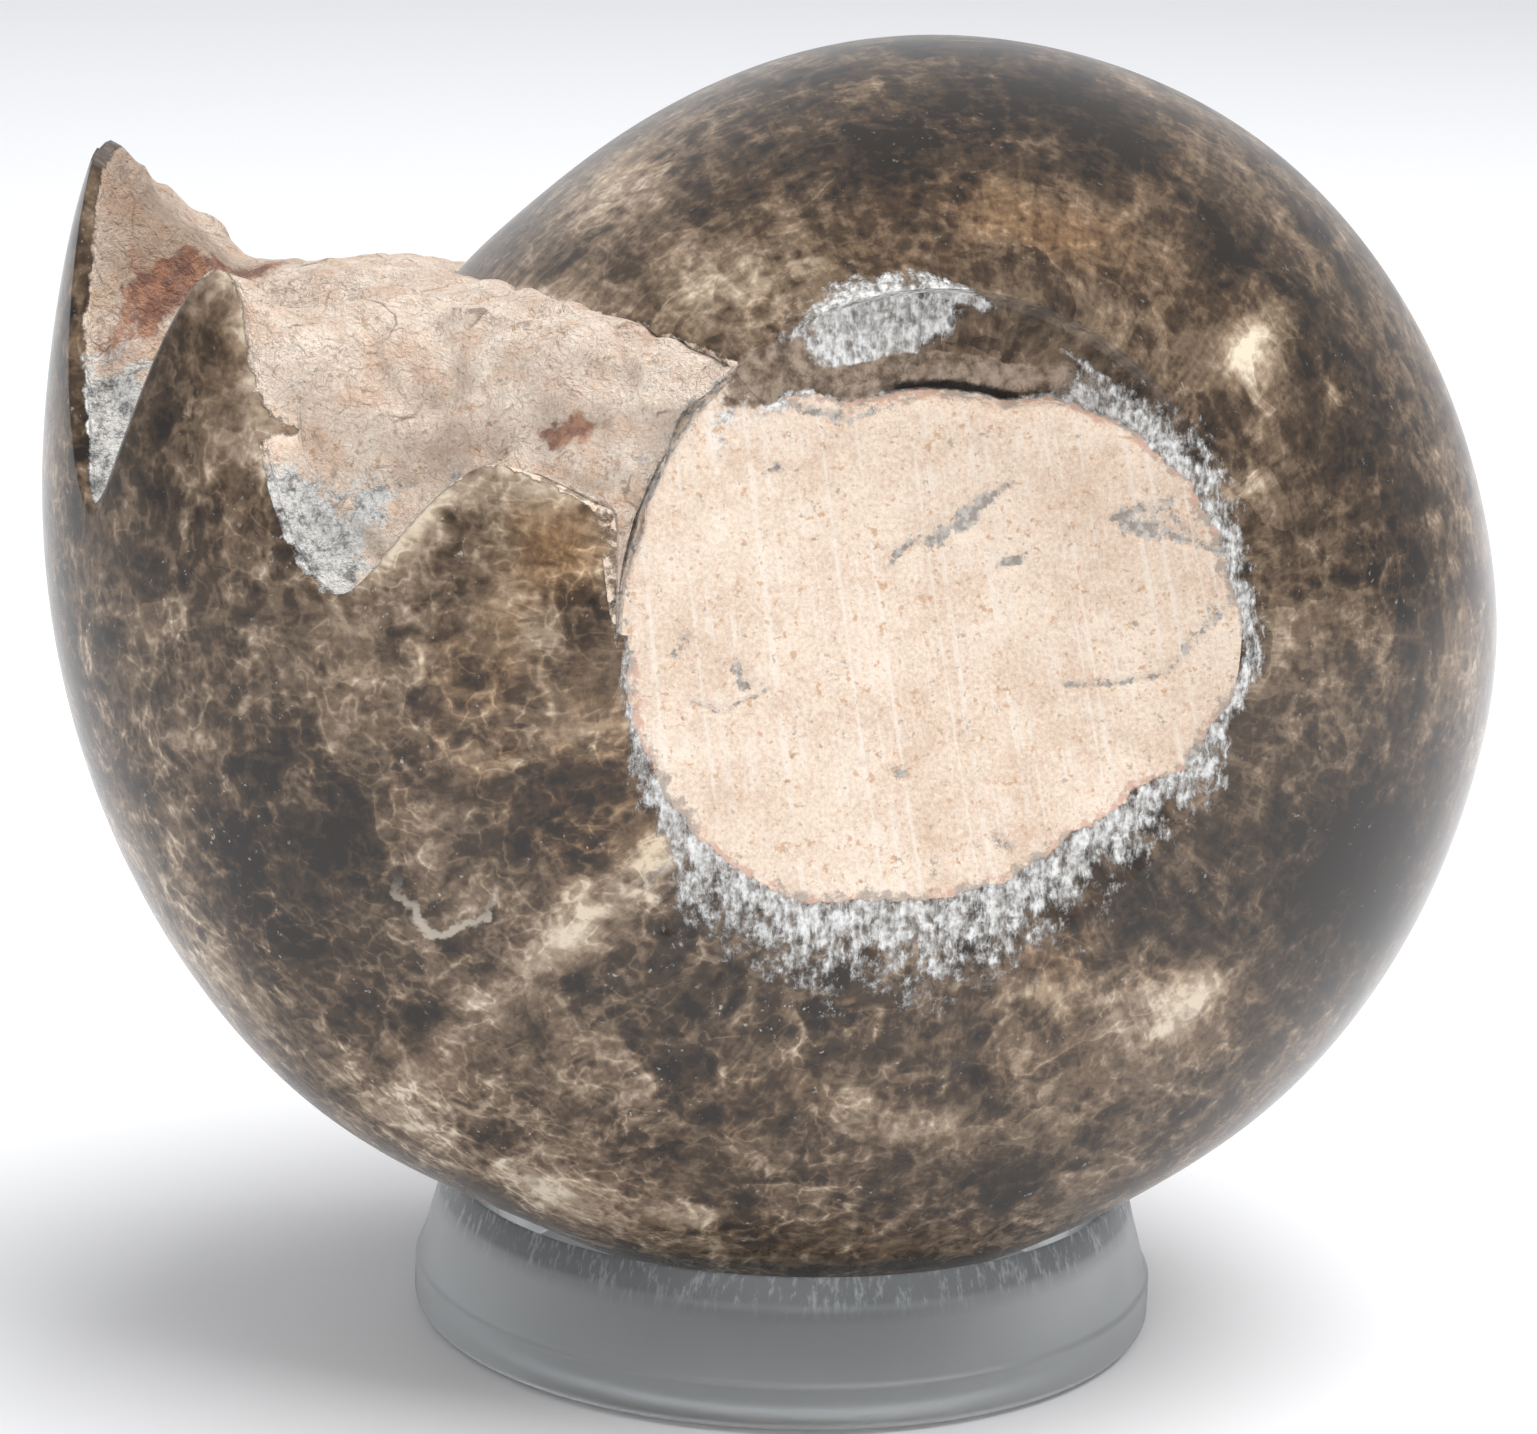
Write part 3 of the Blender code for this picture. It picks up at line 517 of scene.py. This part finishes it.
class Maths:
    """A shader socket in a Python expression: each operator adds its own node."""

    def __init__(self, tree, socket):
        self.tree, self.socket = tree, socket

    def node(self, kind, settings=None, *values, **named):
        """Any node, from its type, its settings, and the values or links of its sockets, in order or by name."""
        made = self.tree.nodes.new(kind)
        for name, value in (settings or {}).items():
            if name == "stops":
                ramp = made.color_ramp
                while len(ramp.elements) < len(value):
                    ramp.elements.new(0.5)
                for element, (position, colour) in zip(ramp.elements, value):
                    element.position, element.color = position, (*colour, 1.0)
            else:
                setattr(made, name, value)
        places = [(made.inputs[index], value) for index, value in enumerate(values) if value is not None]
        places += [(made.inputs[name.replace("_", " ")], value) for name, value in named.items()]
        for place, value in places:
            if isinstance(value, Maths):
                self.tree.links.new(value.socket, place)
            else:
                place.default_value = value
        return made

    def out(self, output, kind, settings=None, *values, **named):
        """One output of a new node."""
        return Maths(self.tree, self.node(kind, settings, *values, **named).outputs[output])

    def math(self, operation, first, second=0.5):
        """One arithmetic node."""
        return self.out(0, "ShaderNodeMath", {"operation": operation}, first, second)

    def __add__(self, other): return self.math("ADD", self, other)
    def __radd__(self, other): return self.math("ADD", other, self)
    def __sub__(self, other): return self.math("SUBTRACT", self, other)
    def __rsub__(self, other): return self.math("SUBTRACT", other, self)
    def __mul__(self, other): return self.math("MULTIPLY", self, other)
    def __rmul__(self, other): return self.math("MULTIPLY", other, self)
    def __abs__(self): return self.math("ABSOLUTE", self)

    def most(self, other):
        """The larger of this and another number."""
        return self.math("MAXIMUM", self, other)

    def ragged(self, noise, amount):
        """This number with (noise - 0.5) * amount added."""
        return self + (noise - 0.5) * amount

    def step(self, low, high):
        """0 at low and 1 at high, smooth between; with low above high it falls instead."""
        if low > high:
            return 1.0 - self.step(high, low)
        return self.out(0, "ShaderNodeMapRange", {"interpolation_type": "SMOOTHSTEP"}, self, low, high, 0.0, 1.0)

    def blend(self, first, second):
        """The first colour where this is 0 and the second where it is 1: first + (second - first) * this."""
        ends = [colour if isinstance(colour, Maths) else (*colour, 1.0) for colour in (first, second)]
        return self.out(2, "ShaderNodeMix", {"data_type": "RGBA"}, self, None, None, None, None, None, *ends)

    def tint(self, colour):
        """This colour multiplied by another one."""
        return self.out(2, "ShaderNodeMix", {"data_type": "RGBA", "blend_type": "MULTIPLY"},
                        1.0, None, None, None, None, None, self, (*colour, 1.0))

    def axis(self, index):
        """One of this vector's numbers: 0 for x, 1 for y and 2 for z."""
        return self.out(index, "ShaderNodeSeparateXYZ", None, self)

    def scaled(self, x, y, z):
        """This vector with each part multiplied by its own number."""
        return self.out(0, "ShaderNodeVectorMath", {"operation": "MULTIPLY"}, self, (x, y, z))

    def pushed(self, size, amount):
        """This place plus noise of a size times an amount in mm."""
        drift = self.out(1, "ShaderNodeTexNoise", None, Vector=self, Scale=1.0 / size, Detail=2.0)
        return self.out(0, "ShaderNodeVectorMath", {"operation": "MULTIPLY_ADD"}, drift, (amount,) * 3, self)

    def noise(self, size, detail=3.0, roughness=0.55):
        """Cloudy noise about 0.5 with lumps of a size in mm."""
        return self.out(0, "ShaderNodeTexNoise", None, Vector=self, Scale=1.0 / size, Detail=detail,
                        Roughness=roughness)

    def threads(self, size, detail=3.0, thin=4.0):
        """Crooked threads: 1 - thin * |2 * noise - 1|, but at least 0."""
        return (1.0 - abs(self.noise(size, detail, 0.6) * 2.0 - 1.0) * thin).most(0.0)

    def cell_edge(self, size):
        """Distance to the edge of round cells of a size, as a share of the size."""
        return self.out(0, "ShaderNodeTexVoronoi", {"feature": "DISTANCE_TO_EDGE"}, Vector=self, Scale=1.0 / size)

    def cell_value(self, size):
        """A number for each cell, 0 to 1."""
        colour = self.out(1, "ShaderNodeTexVoronoi", None, Vector=self, Scale=1.0 / size)
        return self.out(0, "ShaderNodeSeparateColor", None, colour)

    def attribute(self, name, output=2):
        """One of the mesh's own attributes: output 2 is its number and output 1 its vector."""
        return self.out(output, "ShaderNodeAttribute", {"attribute_name": name})


def start_material(name):
    """A new material, its shader, and the Maths of its Object coordinates in mm."""
    material = bpy.data.materials.new(name)
    material.use_nodes = True
    tree = material.node_tree
    place = Maths(tree, tree.nodes.new("ShaderNodeTexCoord").outputs["Object"])
    place = place.scaled(1000.0, 1000.0, 1000.0)
    return material, tree.nodes["Principled BSDF"], place


def connect(material, shader, **sockets):
    """Links to the shader's own sockets."""
    for name, value in sockets.items():
        material.node_tree.links.new(value.socket, shader.inputs[name.replace("_", " ")])


stone, stone_shader, place = start_material("polished_stone")

# The calcite: clouds, bands along the whorl, rays about the plug, and a net of pale veins round darker hearts
flow = place.attribute("flow", 1)
warped = place.pushed(7.0, 5.0).pushed(1.6, 1.3)
clouds = place.noise(13.0, 4.0)
mottle = warped.noise(2.6, 4.0, 0.6)
streaks = flow.pushed(6.0, 3.0).scaled(0.16, 1.0, 1.0).noise(1.6)
thread = place.pushed(3.0, 1.5).noise(0.6, 4.0, 0.62)
rays = place.attribute("rays", 1).pushed(5.0, 3.0).pushed(1.2, 0.8).noise(1.1, 4.0, 0.6)
cells = warped.cell_edge(4.2)
rims = cells.step(0.11, 0.0) * place.noise(4.0, 2.0).step(0.36, 0.62)
small_rims = warped.cell_edge(1.7).step(0.22, 0.0) * place.noise(3.0, 2.0).step(0.45, 0.65)
hearts = cells.step(0.08, 0.32) * place.noise(5.0, 2.0).step(0.4, 0.6)
small_hearts = warped.cell_edge(2.3).step(0.03, 0.34) * place.noise(5.0, 2.0).step(0.34, 0.62)
veins = place.pushed(4.0, 3.0).pushed(0.9, 0.9).threads(2.1, 1.0, 8.0) * place.noise(4.0, 2.0).step(0.35, 0.6)
fine_veins = flow.pushed(3.0, 2.0).pushed(0.7, 0.6).scaled(0.55, 1.0, 1.0).threads(1.3, 1.0, 7.0)
fine_veins = fine_veins * place.pushed(2.0, 1.0).noise(3.0, 2.0).step(0.35, 0.6)
# The net is fainter towards the top and the right
net = place.axis(2).step(82.0, 48.0) * 0.6 + 0.4
net = net * (1.0 - place.axis(0).step(-8.0, 14.0) * 0.4)
tone = 0.41 + place.attribute("pale") * 0.21
tone = tone.ragged(clouds, 0.4).ragged(mottle, 0.3).ragged(streaks, 0.35).ragged(thread, 0.45).ragged(rays, 0.55)
tone = (tone - small_hearts * 0.2).ragged(warped.cell_value(4.2), 0.16) + rims * (net * 0.17 - 0.02)
tone = tone - hearts * 0.09 + small_rims * 0.08 + warped.threads(1.7, 5.0) * 0.07
tone = tone + ((veins - 0.2) * 0.2 + (fine_veins - 0.2) * 0.16) * net
calcite = tone.out(0, "ShaderNodeValToRGB", {"stops": [
    (0.12, (0.013, 0.008, 0.005)), (0.34, (0.055, 0.033, 0.018)), (0.55, (0.165, 0.112, 0.070)),
    (0.75, (0.36, 0.27, 0.19)), (0.98, (0.70, 0.60, 0.46))]}, tone)
sparks = place.noise(0.55, 2.0, 0.6).step(0.66, 0.73) * place.noise(5.0).step(0.48, 0.62) * net
calcite = (sparks * 0.6).blend(calcite, (0.56, 0.54, 0.50))
golden = (place.attribute("amber") * 0.7).ragged(place.noise(7.0, 4.0), 2.0).step(0.0, 1.3)
calcite = golden.blend(calcite, calcite.tint((1.13, 0.90, 0.62)))
# The flake's pale broken edge shows on its lower side alone
flake = place.attribute("flake").ragged(place.noise(1.8, 4.0, 0.6), 1.8)
flake_edge = abs(flake.ragged(thread, 0.8)).step(0.36, 0.1) * place.axis(2).step(40.0, 36.0)
calcite = (flake_edge * 0.85).blend(calcite, (0.50, 0.44, 0.36))

# The limestone: pale pink and sandy where it is sawn, rougher in colour where it is broken, with painted shade in its
# small hollows
grain = place.noise(0.28, 3.0, 0.7)
lime_tone = place.noise(5.0, 4.0)
sawn_tone = (lime_tone * 0.6 + grain * 0.9 - 0.22).step(0.2, 0.8)
sawn_chalk = sawn_tone.blend((0.68, 0.50, 0.375), (0.96, 0.82, 0.68))
broken_tone = (lime_tone * 0.9 + grain * 0.9 - 0.38).step(0.15, 0.8)
broken_chalk = broken_tone.blend((0.74, 0.55, 0.43), (1.0, 0.86, 0.72))
dark_threads = place.pushed(3.0, 2.0).pushed(0.8, 0.5).threads(6.0, 0.5, 26.0).step(0.2, 0.8)
dark_threads = dark_threads * place.noise(4.0, 2.0).step(0.5, 0.62)
broken_chalk = (dark_threads * 0.7).blend(broken_chalk, (0.20, 0.13, 0.095))
broken_chalk = (place.noise(3.0, 4.0, 0.6).step(0.47, 0.67) * 0.55).blend(broken_chalk, (0.72, 0.46, 0.31))
# Painted shade: darker patches of noise stand for the shade in small hollows of the broken limestone
painted_hollow_shade = place.pushed(1.5, 2.0).noise(1.6, 5.0, 0.7).step(0.40, 0.30)
broken_chalk = (painted_hollow_shade * 0.45).blend(broken_chalk, (0.34, 0.25, 0.19))
chalk = place.attribute("end").step(0.1, 0.9).blend(sawn_chalk, broken_chalk)
# Pale saw marks, rusty and grey flecks, and dirt at the plug's edge
saw = place.attribute("saw")
saw_marks = saw.out(0, "ShaderNodeTexNoise", {"noise_dimensions": "1D"}, W=saw, Scale=1.3, Detail=2.5, Roughness=0.7)
saw_marks = (saw_marks - 0.5).ragged(place.noise(2.5), 0.5) * place.noise(6.0, 2.0).step(0.3, 0.55)
chalk = (saw_marks.step(0.0, 0.2) * place.attribute("sawn") * 0.62).blend(chalk, (0.93, 0.84, 0.74))
chalk = (place.noise(0.55, 2.0, 0.6).step(0.60, 0.70) * 0.7).blend(chalk, (0.62, 0.36, 0.20))
chalk = (place.noise(0.7, 3.0, 0.65).step(0.37, 0.29) * 0.65).blend(chalk, (0.36, 0.30, 0.25))
dirt = (place.attribute("limestone").step(1.5, 0.0) * 0.8).ragged(place.noise(0.9, 4.0, 0.7), 2.4)
dirt = (dirt * place.attribute("sawn").step(0.0, 0.02)).step(0.45, 0.8)
dirt_colour = place.noise(2.0, 2.0).step(0.45, 0.6).blend((0.36, 0.31, 0.27), (0.66, 0.38, 0.29))
chalk = (dirt * 0.75).blend(chalk, dirt_colour)
# Red stains, the painted shade and the near flat's darkening, grey crusts and the cracks
stain = place.attribute("stain").ragged(place.pushed(1.0, 1.0).noise(1.6, 5.0, 0.65), 2.6).step(0.45, 0.95)
stain = stain * place.attribute("stain").step(0.05, 0.35)
stain_colour = place.noise(1.1).step(0.4, 0.6).blend((0.27, 0.10, 0.065), (0.60, 0.29, 0.17))
chalk = (stain * 0.85).blend(chalk, stain_colour)
# Painted shade on the far tongue, and the near flat darker towards the upper right
chalk = (place.attribute("dull") * 0.9).blend(chalk, chalk.tint((0.43, 0.36, 0.31)))
ashen = place.attribute("ashen").ragged(place.noise(1.2, 4.0), 2.2).step(0.2, 0.6)
ashen = ashen * place.attribute("ashen").step(0.05, 0.3)
ashen_tone = (place.noise(1.1, 4.0, 0.7) * 0.65 + grain * 0.35).step(0.38, 0.56)
chalk = ashen.blend(chalk, ashen_tone.blend((0.27, 0.265, 0.26), (0.86, 0.84, 0.80)))
crack = place.attribute("crack").ragged(place.noise(0.75, 4.0, 0.7), 2.4).step(0.16, -0.05)
crack_colour = place.noise(0.5, 2.0).step(0.4, 0.6).blend((0.26, 0.24, 0.22), (0.50, 0.47, 0.44))
chalk = (crack * 0.85).blend(chalk, crack_colour)

# The two together, with the white bruises, the wall of the recess and the painted shadow at its foot over them
bared = place.attribute("limestone").ragged(place.noise(1.2, 5.0, 0.65), 1.5).step(-0.1, 0.1)
shade = bared.blend(calcite, chalk)
fibre = place.pushed(1.0, 0.6).scaled(1.0, 1.0, 0.3).noise(0.4, 4.0, 0.7)
bruise = (0.1 + place.attribute("bruise") * 0.62).ragged(fibre, 1.5).ragged(place.noise(1.3, 4.0, 0.65), 2.4)
white = bruise.step(0.08, 0.7) * (1.0 - bared)
white_tone = (fibre * 0.6 + place.noise(0.5) * 0.5 - 0.05).step(0.32, 0.68)
shade = (white * 0.92).blend(shade, white_tone.blend((0.17, 0.15, 0.13), (0.92, 0.92, 0.91)))
wall_colour = place.noise(0.9, 4.0, 0.65).step(0.3, 0.7).blend((0.10, 0.065, 0.042), (0.38, 0.29, 0.215))
wall = place.attribute("groove").ragged(place.noise(1.1, 4.0, 0.65), 1.6).step(0.25, 0.6)
shade = wall.blend(shade, wall_colour)
# Painted shadow: the corner of the recess's foot is coloured near black where the lip shades it
corner = place.attribute("crevice").ragged(place.noise(0.8), 0.8).step(0.35, 0.75)
shade = corner.blend(shade, (0.018, 0.013, 0.010))

# Relief: grain in all the limestone, fibres in the bruises, and ridges on the broken end
ridges = place.noise(0.8, 5.0, 0.7) * 4.0 + abs(place.pushed(2.0, 2.0).noise(2.2, 5.0, 0.65) - 0.5) * 12.0
relief = bared * (grain * 0.7 + place.noise(1.2) * 0.8) + white * fibre * 1.2
relief = relief + place.attribute("end") * bared * ridges
bump = place.out(0, "ShaderNodeBump", None, Height=relief, Distance=0.0002, Strength=1.0)
matt = (0.22 + bared.most(white * 0.6) * 0.5).ragged(mottle, 0.1)
connect(stone, stone_shader, Base_Color=shade, Roughness=matt, Normal=bump)
stone_shader.inputs["IOR"].default_value = 1.5
stone_shader.inputs["Sheen Weight"].default_value = 0.18
stone_shader.inputs["Sheen Roughness"].default_value = 0.3
ammonite.data.materials.append(stone)
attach(ammonite, "root")
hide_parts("ammonite")

# The stand: a ring turned from clear acrylic, with a foot band, tapering sides and a bevelled seat inside its top.
# It was cut on a lathe and polished, and years of handling have left its faces slightly hazy. It stands loose on
# the floor and carries the stone on its seat.
RING_BASE_RADIUS = 26.1
RING_TOP_RADIUS = 24.4
RING_BORE_RADIUS = 20.4
RING_HEIGHT = 10.3
RING_BAND_HEIGHT = 3.2
RING_SEAT_DEPTH = 3.6
RING_EDGE = 0.5
RING_SHOULDER_SHARE, RING_LIP = 0.66, 1.9
RING_ROUNDING, RING_ROUND_POINTS = 0.3, 5
RING_STEPS = 288
# The painted shade in the seat, the stone's dark reflection, starts this far below the top and is full after this
# rise
SEAT_SHADOW_DROP, SEAT_SHADOW_RISE = 2.6, 0.8
# The section runs from the bore's foot outwards, up the outside, over the rim and down the seat
ring_section = np.array([
    (RING_BORE_RADIUS + RING_EDGE, 0.0), (RING_BASE_RADIUS - RING_EDGE, 0.0), (RING_BASE_RADIUS, RING_EDGE),
    (RING_BASE_RADIUS, RING_BAND_HEIGHT), (RING_BASE_RADIUS - RING_EDGE / 2, RING_BAND_HEIGHT + RING_EDGE / 2),
    (RING_TOP_RADIUS + RING_EDGE, RING_HEIGHT * RING_SHOULDER_SHARE),
    (RING_TOP_RADIUS + RING_EDGE / 5, RING_HEIGHT - RING_LIP),
    (RING_TOP_RADIUS - RING_EDGE, RING_HEIGHT), (RING_BORE_RADIUS, RING_HEIGHT - RING_SEAT_DEPTH),
    (RING_BORE_RADIUS, RING_EDGE)])


def rounded(corners, size, steps):
    """A closed outline with each corner replaced by a small curve that starts and ends this far from it.

    The curve is start * (1 - share) ** 2 + 2 * corner * share * (1 - share) + end * share ** 2.
    """
    before, after = np.roll(corners, 1, axis=0) - corners, np.roll(corners, -1, axis=0) - corners
    length_before = np.linalg.norm(before, axis=1, keepdims=True)
    length_after = np.linalg.norm(after, axis=1, keepdims=True)
    reach = np.minimum(size, 0.45 * np.minimum(length_before, length_after))
    start = corners + before / length_before * reach
    end = corners + after / length_after * reach
    share = np.linspace(0.0, 1.0, steps)[None, :, None]
    curve = start[:, None] * (1 - share) ** 2 + 2 * corners[:, None] * share * (1 - share) + end[:, None] * share ** 2
    return curve.reshape(-1, 2)


def lathe_grid(outline, steps, x, y):
    """Points and faces of a closed outline of radius and height, turned round an upright axis at x, y.

    A point is x + radius * cos(turn), y + radius * sin(turn), height.
    """
    turn = np.arange(steps) / steps * 2 * np.pi
    points = np.stack([x + outline[:, None, 0] * np.cos(turn), y + outline[:, None, 0] * np.sin(turn),
                       outline[:, None, 1] + 0 * turn], -1)
    row, column = np.meshgrid(np.arange(len(outline)), np.arange(steps), indexing="ij")
    next_row, next_column = (row + 1) % len(outline), (column + 1) % steps
    quads = np.stack([row * steps + column, row * steps + next_column,
                      next_row * steps + next_column, next_row * steps + column], -1).reshape(-1, 4)
    return points.reshape(-1, 3), quads


ring_outline = rounded(ring_section, RING_ROUNDING, RING_ROUND_POINTS)
ring_points, ring_quads = lathe_grid(ring_outline, RING_STEPS, ring_x, ring_y)
ring = make_piece("acrylic_ring", ring_points, ring_quads, np.zeros((0, 3), dtype=int))
over_seat = (ring_points[:, 2] - RING_HEIGHT + SEAT_SHADOW_DROP) / SEAT_SHADOW_RISE
give_attribute(ring, "seat", np.clip(over_seat, 0.0, 1.0))
acrylic, acrylic_shader, place = start_material("clear_acrylic")
# A slight haze over all the ring, and short dark upright streaks in the seat, a painted reflection of the stone
haze = place.noise(6.0) * 0.6 + place.scaled(1.0, 1.0, 6.0).noise(1.5) * 0.4
ticks = place.scaled(1.0, 1.0, 0.08).noise(0.5, 3.0, 0.7)
# Painted reflection: the seat's colour turns near black in streaks where the stone's underside shows
seat = place.attribute("seat") * ticks.step(0.7, 0.5) * 0.8
ring_colour = seat.blend((0.97, 0.995, 1.0), (0.07, 0.075, 0.075))
connect(acrylic, acrylic_shader, Base_Color=ring_colour, Roughness=haze.step(0.3, 0.7) * 0.08 + 0.38)
acrylic_shader.inputs["Transmission Weight"].default_value = 1.0
acrylic_shader.inputs["IOR"].default_value = 1.49
ring.data.materials.append(acrylic)
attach(ring, "root")
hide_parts("ring_stand")

# The room: a plain pale matt floor, just below the ring's foot, and an even pale surround. A large soft light hangs
# over the floor's right, and a small weak one stands in front, to the left.
FLOOR_REACH, FLOOR_HEIGHT = 3.0, -0.0002
floor_mesh = bpy.data.meshes.new("floor")
floor_corners = [(x * FLOOR_REACH, y * FLOOR_REACH, FLOOR_HEIGHT) for x, y in ((-1, -1), (1, -1), (1, 1), (-1, 1))]
floor_mesh.from_pydata(floor_corners, [], [(0, 1, 2, 3)])
floor = bpy.data.objects.new("floor", floor_mesh)
bpy.context.scene.collection.objects.link(floor)
floor_material = bpy.data.materials.new("pale_floor")
floor_material.use_nodes = True
floor_shader = floor_material.node_tree.nodes["Principled BSDF"]
floor_shader.inputs["Base Color"].default_value = (0.88, 0.88, 0.89, 1.0)
floor_shader.inputs["Roughness"].default_value = 0.6
floor_mesh.materials.append(floor_material)

world = bpy.data.worlds.new("surround")
world.use_nodes = True
surround = world.node_tree.nodes["Background"]
surround.inputs["Color"].default_value = (0.95, 0.97, 1.0, 1.0)
surround.inputs["Strength"].default_value = 0.60
bpy.context.scene.world = world


def soft_light(name, place, aim, size, power):
    """A square white lamp at a place in metres, turned to face its aim, that shiny things don't mirror."""
    lamp = bpy.data.lights.new(name, "AREA")
    lamp.size, lamp.energy = size, power
    item = bpy.data.objects.new(name, lamp)
    item.location = place
    item.rotation_euler = (Vector(aim) - Vector(place)).to_track_quat("-Z", "Y").to_euler()
    item.visible_glossy = False
    bpy.context.scene.collection.objects.link(item)


soft_light("top_light", (0.3, -0.1, 1.1), (0, 0.05, 0), 1.0, 16.0)
soft_light("front_light", (-0.35, -0.95, 0.55), (0, 0, 0.05), 0.6, 1.8)

# The camera: the photograph's viewing angle, a little above, from the left, and tipped two degrees. It aims a few mm
# off the coil's centre, stands this distance in mm from its aim, and has its focal length in the photograph's pixels.
PHOTO_WIDTH = 1537
FOCAL_PIXELS = 4752
SENSOR_WIDTH = 36.0
VIEW_AZIMUTH, VIEW_ELEVATION, VIEW_ROLL = np.radians(-12.0), np.radians(13.5), np.radians(2.0)
VIEW_DISTANCE = 330.0
AIM_RIGHT, AIM_DOWN = 7.357, 10.165
cos_a, sin_a = np.cos(VIEW_AZIMUTH), np.sin(VIEW_AZIMUTH)
cos_e, sin_e = np.cos(VIEW_ELEVATION), np.sin(VIEW_ELEVATION)
right = np.array([cos_a, sin_a, 0.0])
ahead = np.array([-sin_a * cos_e, cos_a * cos_e, -sin_e])
upward = np.cross(right, ahead)
aim = np.array([COIL_X, COIL_Y, COIL_HEIGHT]) - right * AIM_RIGHT - np.array([0.0, 0.0, AIM_DOWN])
eye = aim - ahead * VIEW_DISTANCE
picture_right = np.cos(VIEW_ROLL) * right + np.sin(VIEW_ROLL) * upward
picture_up = np.cos(VIEW_ROLL) * upward - np.sin(VIEW_ROLL) * right
camera_data = bpy.data.cameras.new("camera")
camera_data.sensor_width = SENSOR_WIDTH
camera_data.lens = FOCAL_PIXELS / PHOTO_WIDTH * SENSOR_WIDTH
camera_data.clip_start = 0.01
camera = bpy.data.objects.new("camera", camera_data)
camera.matrix_world = Matrix([
    [picture_right[0], picture_up[0], -ahead[0], eye[0] * MM],
    [picture_right[1], picture_up[1], -ahead[1], eye[1] * MM],
    [picture_right[2], picture_up[2], -ahead[2], eye[2] * MM],
    [0, 0, 0, 1]])
bpy.context.scene.collection.objects.link(camera)
bpy.context.scene.camera = camera
bpy.context.scene.view_settings.view_transform = "Standard"
